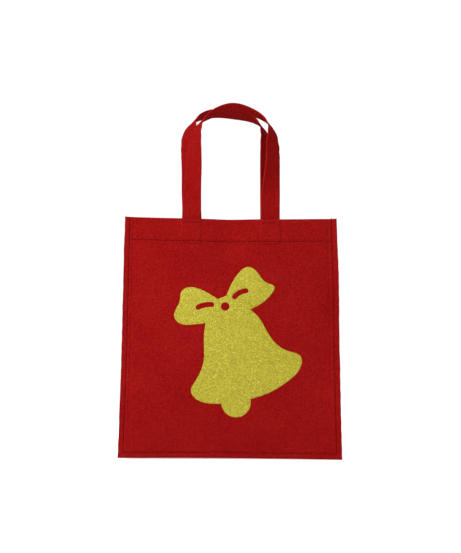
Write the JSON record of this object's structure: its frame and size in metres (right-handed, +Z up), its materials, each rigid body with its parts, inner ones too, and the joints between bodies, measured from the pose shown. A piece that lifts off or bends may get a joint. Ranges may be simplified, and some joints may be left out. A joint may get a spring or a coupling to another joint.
{
  "type": "non-woven tote bag with bell applique",
  "caption": "Small flat non-woven fabric gift bag with an open top, soft loop handles and a glitter bell applique on its front, for carrying or hanging small presents.",
  "frame": {"origin": "middle of the bag's bottom edge, on the surface it would be stood on", "axes": "+X to the bag's right as seen from the front, +Y from the front panel to the back panel, +Z up towards the handles"},
  "size_m": [0.21, 0.0449, 0.35],
  "materials": {
    "red_fabric": "matt point-bonded non-woven",
    "red_strap": "matt non-woven strap",
    "red_thread": "spun polyester thread",
    "gold_glitter": "fine glitter film"
  },
  "bodies": {
    "bag": {"front_panel": "red_fabric", "back_panel": "red_fabric", "front_handle_ends": "red_strap", "back_handle_ends": "red_strap", "bell_applique": "gold_glitter", "perimeter_needle_thread": "red_thread", "perimeter_bobbin_thread": "red_thread", "front_hem_needle_thread": "red_thread", "back_hem_needle_thread": "red_thread", "front_hem_bobbin_thread": "red_thread", "back_hem_bobbin_thread": "red_thread", "front_left_tack_thread": "red_thread", "front_right_tack_thread": "red_thread", "back_left_tack_thread": "red_thread", "back_right_tack_thread": "red_thread"},
    "front_handle": {"front_handle": "red_strap"},
    "back_handle": {"back_handle": "red_strap"}
  },
  "joints": [
    {"name": "front_handle_fold", "type": "hinge", "parent": "bag", "child": "front_handle", "pos_m": [0, -0.0066, 0.2324], "axis": [1, 0, 0], "range_deg": [0, 170]},
    {"name": "back_handle_fold", "type": "hinge", "parent": "bag", "child": "back_handle", "pos_m": [0, 0.0066, 0.2324], "axis": [-1, 0, 0], "range_deg": [0, 170]}
  ]
}
